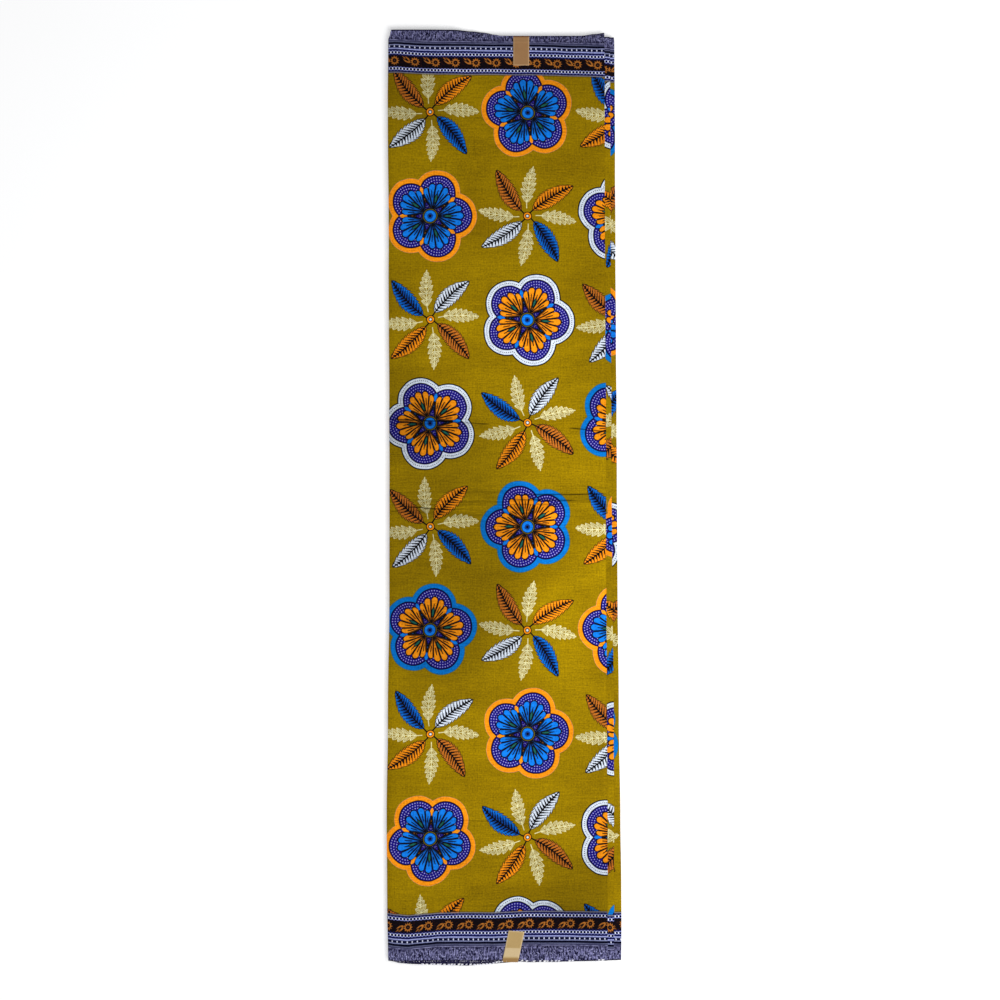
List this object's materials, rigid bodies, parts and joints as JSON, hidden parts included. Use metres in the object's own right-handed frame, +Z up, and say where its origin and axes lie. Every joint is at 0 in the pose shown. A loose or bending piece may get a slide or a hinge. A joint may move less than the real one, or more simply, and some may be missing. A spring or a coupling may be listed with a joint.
{
  "type": "folded length of wax print fabric",
  "caption": "Length of patterned cotton wax print cloth, folded to and fro into a long flat strip that lies on a surface and is held by paper tapes at its ends.",
  "frame": {"origin": "middle of the strip's outline, on the surface that it lies on", "axes": "+Y along the folds from selvedge to selvedge, +X towards the stepped fold lips, +Z up"},
  "size_m": [0.2948, 1.1728, 0.0127],
  "materials": {
    "cloth": "plain woven printed cotton with a light starched sheen",
    "tape": "smooth brown paper tape"
  },
  "bodies": {
    "root": {"panel_top": "cloth", "fold_second": "cloth", "fold_third": "cloth", "layers_hidden": "cloth", "tape_top": "tape", "tape_bottom": "tape"}
  },
  "joints": []
}
